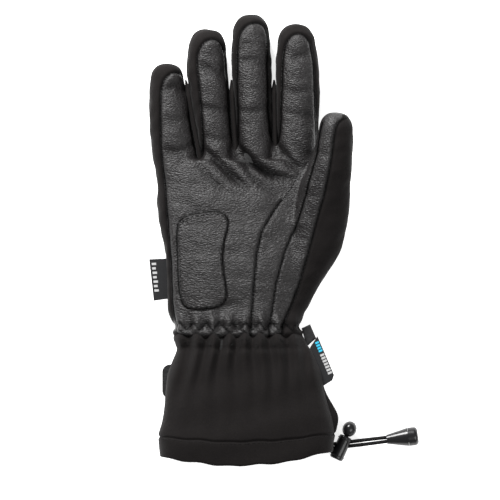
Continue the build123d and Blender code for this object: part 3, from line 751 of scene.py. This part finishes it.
@dataclass
class Cuff:
    """The gathered gauntlet cuff with its hem band, lining and elastic."""

    sections: tuple = (
        (-57, -48.0, 31.5, 7, 33.5), (-60.5, -49.2, 33.0, 5, 35.4), (-64, -50.2, 34.8, 4, 38.4),
        (-68, -48.9, 36.6, 4, 39.6), (-72, -48.2, 39.4, 4, 40.6),
        (-80, -51.4, 43.0, 3.5, 42), (-88, -54.0, 46.0, 3, 43.4), (-98, -55.2, 47.6, 2.4, 45), (-110, -56.2, 50.6, 1.4, 46.8),
        (-120, -57.6, 53.2, 0.6, 48.4), (-130, -60.0, 54.2, 0, 49.6), (-139, -59.6, 53.8, 0, 49.8), (-147, -59.0, 53.6, 0, 49.4),
    )
    rim_rise: float = 8.5
    rim_middle: float = -9.0
    band: float = 15.5
    wall: float = 4.5
    inner_depth: float = 88.0

    def __post_init__(self) -> None:
        """Smooth the sections once."""
        self.track = smooth_track(np.array(self.sections, float), 8)

    def point(self, drop: float, angle: float, inset: float = 0.0) -> tuple:
        """A point of the cuff's wall.

        Args:
            drop: Distance from the wrist towards the hem, where the hem is at 90.
            angle: Angle round the cuff, from +X through the palm side.
            inset: Distance in from the outer surface.

        Returns:
            The point in millimetres.
        """
        y = -57.0 - drop
        _, left, right, low, high = (np.interp(-y, -self.track[:, 0], self.track[:, k]) for k in range(5))
        c, s = math.cos(angle), math.sin(angle)
        power = 0.72 if s > 0 else 0.5
        c, s = math.copysign(abs(c) ** power, c), math.copysign(abs(s) ** power, s)
        bulge = 4.2 * math.exp(-(((y + 116) / 13) ** 2)) if c > 0 and s < 0.1 else 0.0
        x = (left + right) / 2 + c * ((right - left) / 2 - inset) + bulge * max(c, 0) * min(1, 1 - s)
        z = (low + high) / 2 + s * ((high - low) / 2 - inset)
        rise = self.rim_rise * ((x - self.rim_middle) / 58) ** 2
        share = drop / 90.0
        y += rise * share**3 + share**2 * (0.35 * math.sin(0.33 * x) + 0.3 * math.sin(0.17 * x + 1))
        fade = max(0.0, 1 - max(0.0, drop - 10) / 42) ** 1.5
        depth = (3.3 * fade * min(1, drop / 5) + 0.3 * math.exp(-(((drop - 48) / 22) ** 2))) if inset < 2 else 0
        spread = 1 - 0.004 * max(0, drop - 10)
        wave = math.cos((x * spread - GATHER_FROM) * 2 * math.pi / GATHER_PITCH + 0.5 * math.sin(drop * 0.12 + x * 0.1))
        z += depth * wave * (1 if s > 0 else -0.3) * abs(s)
        if inset < 2:
            z += 0.9 * math.sin(0.11 * x + 0.1 * drop) * math.sin(0.13 * drop - 0.05 * x) * s
            line = drop - (90 - self.band)
            z -= 0.9 * math.exp(-((line / 1.0) ** 2)) * s
            z -= 1.0 * math.exp(-(((drop - 13.5) / 2.2) ** 2)) * s
            x -= 0.9 * math.exp(-((line / 1.0) ** 2)) * c
        return x, y, max(z, 0.0)

    def sheet(self, name: str, drops: tuple, angles: tuple, counts: tuple, slot: Slot, nodes: tuple,
              roll: bool = False) -> None:
        """Make one panel of the cuff.

        Args:
            name: The panel's name.
            drops: Where it starts and ends, along the cuff.
            angles: Where it starts and ends, round the cuff.
            counts: Its grid, along and round.
            slot: The record's material slot.
            nodes: The CAD nodes that it stands for.
            roll: Whether it turns over the rim and up inside.
        """
        bm = bmesh.new()
        bmesh.ops.create_grid(bm, x_segments=counts[0], y_segments=counts[1], size=0.5)
        for vert in bm.verts:
            u, v = vert.co.x + 0.5, vert.co.y + 0.5
            angle = angles[0] + (angles[1] - angles[0]) * v
            drop = drops[0] + (drops[1] - drops[0]) * u
            inset = 0.0
            if roll:
                outside = drops[1] - drops[0]
                path = u * (outside + math.pi * 1.4 + 9)
                if path <= outside:
                    drop = drops[0] + path
                elif path <= outside + math.pi * 1.4:
                    turn = (path - outside) / 1.4
                    drop, inset = drops[1] + 1.4 * math.sin(turn), 1.4 * (1 - math.cos(turn))
                else:
                    drop, inset = drops[1] - (path - outside - math.pi * 1.4), 2.8
            vert.co = self.point(drop, angle, inset)
        bmesh.ops.remove_doubles(bm, verts=bm.verts, dist=0.001)
        bm.normal_update()
        outward = sum(f.normal.dot(f.calc_center_median() - Vector((-4, f.calc_center_median().y, 24))) for f in bm.faces)
        if (outward < 0) != (slot is Slot.FLEECE):
            bmesh.ops.reverse_faces(bm, faces=bm.faces)
        mesh_piece(name, bm, slot, "hand", nodes)

    def build(self) -> None:
        """Make the front and back panels, the hem band and the lining."""
        side = 0.16
        band_from = 90 - self.band
        self.sheet("cuff_front", (0, band_from), (side, math.pi - side), (150, 220), Slot.SHELL,
                   ("cuff_front_panel", "wrist_elastic"))
        self.sheet("cuff_back", (0, band_from), (math.pi - side, 2 * math.pi + side), (110, 200), Slot.SHELL,
                   ("cuff_back_panel",))
        self.sheet("hem", (band_from, 88.6), (0, 2 * math.pi), (44, 300), Slot.SHELL,
                   ("hem_band", "hem_drawcord"), roll=True)
        bm = bmesh.new()
        rings = []
        for drop in np.linspace(87, 0, 24):
            rings.append([self.point(drop, a, 3.6) for a in np.linspace(0, 2 * math.pi, 96, endpoint=False)])
        loft(bm, rings, capped=False)
        bmesh.ops.recalc_face_normals(bm, faces=bm.faces)
        bmesh.ops.reverse_faces(bm, faces=bm.faces)
        mesh_piece("cuff_inside", bm, Slot.FLEECE, "hand", ("cuff_lining",))

    def zigzag(self, name: str, drop: float, height: float, pitch: float) -> None:
        """Sew a zigzag row round the palm side of the wrist.

        Args:
            name: The piece's name.
            drop: Distance of the row's middle from the wrist end.
            height: Height of the zigzag.
            pitch: Length of one zigzag round the cuff.
        """
        bm = bmesh.new()
        tree_points = []
        for i in range(int(84 / pitch * 2)):
            angle = math.pi - 0.35 - i * (math.pi - 0.7) / (84 / pitch * 2)
            x, y, z = self.point(drop + (height / 2 if i % 2 else -height / 2), angle)
            tree_points.append(Vector((x, y, z + 0.2)))
        for a, b in zip(tree_points, tree_points[1:]):
            for k in range(3):
                thread(bm, a.lerp(b, k / 3 + 0.03), a.lerp(b, (k + 1) / 3 - 0.03), 0.22)
        mesh_piece(name, bm, Slot.CORD, "hand")

    def hem_stitches(self) -> None:
        """Sew the line of stitches above the hem."""
        bm = bmesh.new()
        drop = 90 - self.band + 1.2
        angles = np.linspace(0.1, math.pi - 0.1, 96)
        for a, b in zip(angles, angles[1:]):
            start, stop = (Vector(self.point(drop, at)) + Vector((0, 0, 0.1)) for at in (a, a + (b - a) * 0.72))
            thread(bm, start, stop, 0.24)
        mesh_piece("hem_stitch_row", bm, Slot.CORD, "hand")


@dataclass
class Linings:
    """The soft inner forms that fill the hand and the digits under their panels."""

    inset: float = 2.6

    def build(self) -> None:
        """Make one inner form for the hand and one for each digit."""
        bm = bmesh.new()
        loft(bm, hand_rings(self.inset + 1.2))
        bmesh.ops.recalc_face_normals(bm, faces=bm.faces)
        piece = mesh_piece("hand_lining_bag", bm, Slot.FLEECE, "hand", ("hand_lining", "hand_wadding", "knuckle_foam"))
        for digit in (*DIGITS, THUMB):
            bm = bmesh.new()
            loft(bm, digit_rings(digit, self.inset))
            bmesh.ops.recalc_face_normals(bm, faces=bm.faces)
            nodes = (f"{digit.name}_lining", f"{digit.name}_wadding")
            piece = mesh_piece(f"{digit.name}_lining_bag", bm, Slot.FLEECE, "", nodes)
            join_to_hand(piece, digit.body)


@dataclass
class Trims:
    """The side label, the hanging label, the ribbed hanging loop and the wrist strap."""

    side_label: tuple = ((-66.0, -12.6), (-53.0, -12.0), (-51.6, -38.0), (-63.0, -39.6))
    flag: tuple = ((43.4, -62.6), (54.2, -87.8), (53.0, -91.4), (47.0, -95.0), (42.0, -90.0), (38.5, -70.0))
    tape: tuple = ((33.0, -57.5), (38.6, -54.8), (42.6, -64.0), (36.4, -69.5))

    def plate(self, name: str, outline: tuple, z: float, thickness: float, nodes: tuple = ()) -> None:
        """Make a flat label from its outline.

        Args:
            name: The piece's name.
            outline: Its corners in plan.
            z: Height of its underside.
            thickness: Its thickness.
            nodes: The CAD nodes that it stands for.
        """
        bm = bmesh.new()
        base = bm.faces.new([bm.verts.new((x, y, z)) for x, y in outline])
        lifted = bmesh.ops.extrude_face_region(bm, geom=[base])["geom"]
        bmesh.ops.translate(bm, vec=(0, 0, thickness), verts=[g for g in lifted if isinstance(g, bmesh.types.BMVert)])
        bmesh.ops.recalc_face_normals(bm, faces=bm.faces)
        edges = [e for e in bm.edges if e.calc_length() > 1.2 * thickness]
        bmesh.ops.bevel(bm, geom=edges, offset=thickness * 0.3, segments=2, profile=0.5, affect="EDGES", material=-1)
        piece = mesh_piece(name, bm, Slot.LABEL, "hand", nodes)
        piece.data.polygons.foreach_set("use_smooth", [False] * len(piece.data.polygons))

    def bars(self, name: str, corner: tuple, across: tuple, down: tuple, rows: tuple, z: float) -> None:
        """Weave plain pale bars on a label.

        Args:
            name: The piece's name.
            corner: The corner that the rows are counted from.
            across: Unit vector along a bar.
            down: Unit vector from row to row.
            rows: For each bar its place down, its place across, its length and its height.
            z: Height of the label's face.
        """
        bm = bmesh.new()
        for at, start, length, height in rows:
            points = [(start, at), (start + length, at), (start + length, at + height), (start, at + height)]
            verts = [bm.verts.new((corner[0] + across[0] * a + down[0] * d, corner[1] + across[1] * a + down[1] * d, z))
                     for a, d in points]
            lifted = bmesh.ops.extrude_face_region(bm, geom=[bm.faces.new(verts)])["geom"]
            bmesh.ops.translate(bm, vec=(0, 0, 0.12), verts=[g for g in lifted if isinstance(g, bmesh.types.BMVert)])
        bmesh.ops.recalc_face_normals(bm, faces=bm.faces)
        piece = mesh_piece(name, bm, Slot.LABEL, "hand")
        piece.data.materials[0] = PALE_THREAD[0]
        piece.data.polygons.foreach_set("use_smooth", [False] * len(piece.data.polygons))

    def build(self) -> None:
        """Make the labels and the loop, and dress the strap."""
        self.plate("side_label_tab", self.side_label, 17.0, 0.9, ("side_label",))
        self.bars("side_label_bars", (-64.6, -15.0), (0.99, 0.05), (0.1, -0.99),
                  tuple((2.9 * i, 0.2, 2.9 - 0.5 * (i % 2), 1.5) for i in range(7)), 17.9)
        self.plate("flag_label_tab", self.flag, 24.0, 0.8, ("flag_label",))
        across, down = (0.919, 0.394), (0.394, -0.919)
        self.bars("flag_label_flash", (44.4, -65.6), across, down,
                  tuple((1.9 * i, -2.9, 2.5, 1.3) for i in range(4)), 24.8)
        self.bars("flag_label_bars", (44.4, -65.6), across, down,
                  tuple((8.6 + 2.1 * i, -3.1, 2.8, 1.4) for i in range(7)), 24.8)
        bpy.data.objects["flag_label_flash"].data.materials[0] = PALE_THREAD[1]
        self.plate("hanging_tape", self.tape, 19.0, 3.4, ("webbing_loop",))
        tape = bpy.data.objects["hanging_tape"]
        tape.data.materials[0] = MATERIALS[Slot.WEBBING]
        for node, slot in NODE_SLOTS.items():
            mesh = frame_object(node).data
            mesh.materials.clear()
            mesh.materials.append(MATERIALS[slot])


NODE_SLOTS = {
    "wrist_strap": Slot.WEBBING, "strap_anchor": Slot.SHELL,
    "strap_loop_patch": Slot.HOOK, "strap_hook_patch": Slot.HOOK, "cord_eyelet": Slot.PLASTIC,
    "lock_spring": Slot.PLASTIC,
    "cord_end_bell": Slot.PLASTIC, "cord_end_cap": Slot.PLASTIC,
}


def frame_object(node: str) -> bpy.types.Object:
    """The CAD node's object in the scene."""
    return bpy.data.objects[node]


@dataclass
class CordLock:
    """The spring lock on the hem cord: a round body and a domed push button."""

    centre: tuple = (59.5, -133.2, 6.2)
    axis: tuple = (0.42, 0.908, 0.0)
    body: tuple = (-10.2, 6.2)
    body_radius: float = 4.5
    dome_at: float = 11.25
    dome: tuple = (4.6, 5.4, 5.2)

    def place(self, along: float) -> Matrix:
        """The lock's own directions at a distance along its axis."""
        axis = Vector(self.axis).normalized()
        turn = axis.to_track_quat("Z", "Y").to_matrix().to_4x4()
        return Matrix.Translation(Vector(self.centre) + axis * along) @ turn

    def build(self) -> None:
        """Make the body with its waist and slot rim, and the domed button on top of it."""
        low, high = self.body
        bm = bmesh.new()
        bmesh.ops.create_cone(bm, cap_ends=True, segments=40, radius1=self.body_radius, radius2=self.body_radius * 0.94,
                              depth=high - low, matrix=self.place((low + high) / 2))
        rims = [e for e in bm.edges if len(e.link_faces) == 2 and e.calc_face_angle() > 1.0]
        bmesh.ops.bevel(bm, geom=rims, offset=1.3, segments=4, profile=0.5, affect="EDGES", material=-1)
        for at in (high - 2.2, low + 2.4):
            bmesh.ops.create_cone(bm, cap_ends=True, segments=40, radius1=self.body_radius + 0.25,
                                  radius2=self.body_radius + 0.25, depth=0.8, matrix=self.place(at))
        mesh_piece("lock_body", bm, Slot.PLASTIC, "cord_lock", ("lock_barrel",))
        bm = bmesh.new()
        bmesh.ops.create_uvsphere(bm, u_segments=36, v_segments=20, radius=1.0,
                                  matrix=self.place(self.dome_at) @ Matrix.Diagonal((*self.dome, 1)))
        mesh_piece("lock_dome", bm, Slot.PLASTIC, "lock_push_button", ("lock_button",))


@dataclass
class Drawcord:
    """The two free strands of the hem cord; the lock and the end fitting are made elsewhere."""

    start: tuple = (50.9, -134.3, 6.2)
    stop: tuple = (91.0, -129.4, 6.2)
    spacing: float = 2.55
    diameter: float = 2.4
    stations: tuple = ((0.0, 0.0, 0.0), (10.5, 0.0, 0.12), (20.5, 0.16, 0.0), (31.0, 0.1, 0.12), (40.4, 0.0, 0.0))

    def strand(self, name: str, side: int) -> None:
        line = Vector((self.stop[0] - self.start[0], self.stop[1] - self.start[1], 0)).normalized()
        across = Vector((-line.y, line.x, 0)) * side
        places = [Vector(self.start) + line * s + across * (self.spacing / 2 + bow) + Vector((0, 0, lift))
                  for s, bow, lift in self.stations]
        curve = bpy.data.curves.new(name, "CURVE")
        curve.dimensions = "3D"
        spline = curve.splines.new("NURBS")
        spline.points.add(len(places) - 1)
        for point, place in zip(spline.points, places):
            point.co = (*(place * MM), 1.0)
        spline.order_u = 3
        spline.use_endpoint_u = True
        spline.resolution_u = 12
        curve.bevel_depth = self.diameter / 2 * MM
        curve.bevel_resolution = 5
        curve.use_fill_caps = True
        piece = bpy.data.objects.new(name, curve)
        bpy.context.scene.collection.objects.link(piece)
        curve.materials.append(MATERIALS[Slot.CORD])
        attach(piece, "hand")
        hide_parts(f"cord_strand_{name.split('_')[-1]}")

    def build(self) -> None:
        """Lay both strands."""
        self.strand("cord_lower", -1)
        self.strand("cord_upper", 1)


# ------------------------------------------------------------------ finishes
@dataclass(frozen=True)
class Finish:
    """One surface: its colours, gloss and the relief of its grain or weave, with painted shade in the grain's hollows
    and along the skin's seams and folds.
    """

    name: str
    dark: tuple
    light: tuple
    roughness: float
    sheen: float = 0.0
    coat: float = 0.0
    grains: tuple = ()
    bump: float = 0.0002
    specular: float = 0.3

    def build(self) -> bpy.types.Material:
        """Make the material from nodes on Object coordinates."""
        material = bpy.data.materials.new(self.name)
        material.use_nodes = True
        nodes, links = material.node_tree.nodes, material.node_tree.links
        shader = nodes["Principled BSDF"]
        shader.inputs["Roughness"].default_value = self.roughness
        shader.inputs["Sheen Weight"].default_value = self.sheen
        shader.inputs["Sheen Roughness"].default_value = 0.5
        shader.inputs["Coat Weight"].default_value = self.coat
        shader.inputs["Specular IOR Level"].default_value = self.specular
        place = nodes.new("ShaderNodeTexCoord")
        height = None
        for kind, scale, stretch, weight in self.grains:
            mapping = nodes.new("ShaderNodeMapping")
            mapping.inputs["Scale"].default_value = stretch
            links.new(place.outputs["Object"], mapping.inputs["Vector"])
            grain = nodes.new(kind)
            grain.inputs["Scale"].default_value = scale
            links.new(mapping.outputs["Vector"], grain.inputs["Vector"])
            if kind == "ShaderNodeTexNoise":
                grain.inputs["Detail"].default_value = 4.0
                out = grain.outputs[0]
            else:
                out = grain.outputs["Distance"]
            times = nodes.new("ShaderNodeMath")
            times.operation = "MULTIPLY"
            times.inputs[1].default_value = weight
            links.new(out, times.inputs[0])
            if height is None:
                height = times.outputs[0]
            else:
                total = nodes.new("ShaderNodeMath")
                links.new(height, total.inputs[0])
                links.new(times.outputs[0], total.inputs[1])
                height = total.outputs[0]
        # The colour follows the grain's height: the grain's own tone, with painted shade in its hollows and painted
        # highlight on its peaks.
        ramp = nodes.new("ShaderNodeValToRGB")
        ramp.color_ramp.elements[0].position = 0.3
        ramp.color_ramp.elements[1].position = 0.7
        ramp.color_ramp.elements[0].color = (*self.dark, 1)
        ramp.color_ramp.elements[1].color = (*self.light, 1)
        if height is None:
            shader.inputs["Base Color"].default_value = (*self.light, 1)
            return material
        links.new(height, ramp.inputs["Fac"])
        # Painted shade: the per-vertex painted shade mixes the colour towards near black along seams and folds.
        shade = nodes.new("ShaderNodeAttribute")
        shade.attribute_name = "crease"
        shade_mix = nodes.new("ShaderNodeMix")
        shade_mix.data_type = "RGBA"
        colour_a = [socket for socket in shade_mix.inputs if socket.name == "A" and socket.type == "RGBA"][0]
        shade_colour = [socket for socket in shade_mix.inputs if socket.name == "B" and socket.type == "RGBA"][0]
        shade_colour.default_value = (0.002, 0.002, 0.002, 1)
        links.new(shade.outputs["Fac"], shade_mix.inputs["Factor"])
        links.new(ramp.outputs["Color"], colour_a)
        mixed = [socket for socket in shade_mix.outputs if socket.type == "RGBA"][0]
        links.new(mixed, shader.inputs["Base Color"])
        # Painted shade: the specular level falls towards nothing along seams and folds.
        shine_in_shade = nodes.new("ShaderNodeMath")
        shine_in_shade.operation = "MULTIPLY_ADD"
        shine_in_shade.inputs[1].default_value = -self.specular
        shine_in_shade.inputs[2].default_value = self.specular
        links.new(shade.outputs["Fac"], shine_in_shade.inputs[0])
        links.new(shine_in_shade.outputs[0], shader.inputs["Specular IOR Level"])
        bump = nodes.new("ShaderNodeBump")
        bump.inputs["Distance"].default_value = self.bump
        bump.inputs["Strength"].default_value = 1.0
        links.new(height, bump.inputs["Height"])
        links.new(bump.outputs["Normal"], shader.inputs["Normal"])
        return material


NOISE, CELLS = "ShaderNodeTexNoise", "ShaderNodeTexVoronoi"
FINISHES = {
    Slot.LEATHER: Finish("charcoal grained leather", (0.0034, 0.0030, 0.0030), (0.0140, 0.0126, 0.0128), 0.42, 0.0, grains=(
        (NOISE, 760, (0.6, 1.5, 1.0), 0.58), (CELLS, 1150, (0.55, 1.2, 0.7), 0.36), (NOISE, 1900, (1, 1, 1), 0.2),
    ), bump=0.0009, specular=0.36),
    Slot.SHELL: Finish("black softshell", (0.0052, 0.0043, 0.0042), (0.0088, 0.0074, 0.0072), 0.85, 0.03, grains=(
        (NOISE, 1500, (1, 1, 1), 0.7), (NOISE, 160, (1, 1, 1), 0.3),
    ), bump=0.0003, specular=0.1),
    Slot.FLEECE: Finish("brushed black fleece", (0.006, 0.006, 0.006), (0.014, 0.014, 0.014), 0.95, 0.2, grains=(
        (NOISE, 900, (1, 1, 1), 1.0),), bump=0.0006),
    Slot.CORD: Finish("black braid", (0.0015, 0.0015, 0.0015), (0.004, 0.004, 0.0042), 0.6, 0.0, grains=(
        (CELLS, 1500, (0.7, 1.4, 1), 1.0),), bump=0.0003, specular=0.15),
    Slot.PLASTIC: Finish("black moulded plastic", (0.006, 0.006, 0.006), (0.010, 0.010, 0.011), 0.28, 0.0, 0.2),
    Slot.WEBBING: Finish("black ribbed tape", (0.004, 0.004, 0.004), (0.022, 0.022, 0.023), 0.7, 0.1, grains=(
        (NOISE, 1100, (0.2, 3.0, 0.2), 1.0),), bump=0.0006),
    Slot.LABEL: Finish("black woven label", (0.006, 0.006, 0.007), (0.012, 0.012, 0.013), 0.7, 0.0, grains=(
        (NOISE, 2200, (1, 3, 1), 1.0),), bump=0.0001),
    Slot.HOOK: Finish("black hook and loop", (0.004, 0.004, 0.004), (0.02, 0.02, 0.02), 0.9, 0.2, grains=(
        (CELLS, 1200, (1, 1, 1), 1.0),), bump=0.0008),
}
THREADS = (Finish("white label thread", (0.3, 0.3, 0.3), (0.42, 0.42, 0.42), 0.7),
           Finish("blue label thread", (0.02, 0.3, 0.5), (0.03, 0.42, 0.62), 0.7))
PALE_THREAD = []


@dataclass
class Studio:
    """White floor, soft light and the camera straight above."""

    middle: tuple = (-0.45, -6.6)
    width: float = 325.0

    def build(self) -> None:
        """Make the floor, the lights, the world and the camera."""
        scene = bpy.context.scene
        bm = bmesh.new()
        bmesh.ops.create_grid(bm, x_segments=1, y_segments=1, size=3.0)
        bmesh.ops.translate(bm, vec=(0, 0, -0.0006), verts=bm.verts)
        mesh = bpy.data.meshes.new("floor")
        bm.to_mesh(mesh)
        bm.free()
        floor = bpy.data.objects.new("floor", mesh)
        scene.collection.objects.link(floor)
        white = bpy.data.materials.new("white floor")
        white.use_nodes = True
        white.node_tree.nodes["Principled BSDF"].inputs["Base Color"].default_value = (0.95, 0.95, 0.95, 1)
        white.node_tree.nodes["Principled BSDF"].inputs["Roughness"].default_value = 1.0
        white.node_tree.nodes["Principled BSDF"].inputs["Emission Color"].default_value = (1, 1, 1, 1)
        white.node_tree.nodes["Principled BSDF"].inputs["Emission Strength"].default_value = 0.75
        mesh.materials.append(white)
        world = bpy.data.worlds.new("studio")
        world.use_nodes = True
        world.node_tree.nodes["Background"].inputs["Color"].default_value = (1, 1, 1, 1)
        world.node_tree.nodes["Background"].inputs["Strength"].default_value = 0.24
        scene.world = world
        for name, place, size, power in (("key", (-0.35, 0.8, 0.6), 0.45, 26.0), ("fill", (0.6, -0.5, 0.9), 0.7, 6.0)):
            light = bpy.data.lights.new(name, "AREA")
            light.size = size
            light.energy = power
            lamp = bpy.data.objects.new(name, light)
            lamp.location = place
            lamp.rotation_euler = (-Vector(place)).to_track_quat("-Z", "Y").to_euler()
            scene.collection.objects.link(lamp)
        camera = bpy.data.cameras.new("camera")
        camera.type = "ORTHO"
        camera.ortho_scale = self.width * MM
        view = bpy.data.objects.new("camera", camera)
        view.location = (self.middle[0] * MM, self.middle[1] * MM, 0.8)
        scene.collection.objects.link(view)
        scene.camera = view
        scene.view_settings.view_transform = "Standard"


def main() -> None:
    """Build the glove's pieces in order."""
    logging.basicConfig(level=logging.INFO, format="%(message)s")
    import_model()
    MATERIALS.update({slot: finish.build() for slot, finish in FINISHES.items()})
    PALE_THREAD.extend(finish.build() for finish in THREADS)
    hand = Hand()
    hand.panels()
    hand.knots()
    hand.gap_shadow_sheets()
    seams = {
        "mound_seam_stitches": MOUND_SEAM[1:], "strip_seam_stitches": STRIP_SEAM[6:],
        "mound_edge_stitches": ((38.4, -6.6), (29.6, -37.15), (22.5, -52.75)),
    }
    for name, line in seams.items():
        hand.stitches(name, tuple(map(tuple, smooth_track(np.array(line, float), 6))), 1.9, 0.7)
    hand.stitches("heel_patch_stitches", tuple(inner_line(HEEL_PATCH, 1.5)), 2.2, 1.1)
    cuff = Cuff()
    cuff.build()
    hand.zigzag("wrist_zigzag_upper", ZIGZAG_Y, 5.4, 8.6)
    cuff.zigzag("wrist_zigzag_lower", 9.4, 5.0, 8.6)
    cuff.hem_stitches()
    Linings().build()
    Trims().build()
    Drawcord().build()
    CordLock().build()
    Studio().build()


def inner_line(outline: tuple, inset: float) -> list:
    """A closed line inside an outline, at a distance from it."""
    ring = np.array(rounded(outline))
    middle = ring.mean(0)
    drawn = ring + (middle - ring) / np.linalg.norm(middle - ring, axis=1)[:, None] * inset
    return [*map(tuple, drawn), tuple(drawn[0])]


if __name__ == "__main__":
    main()
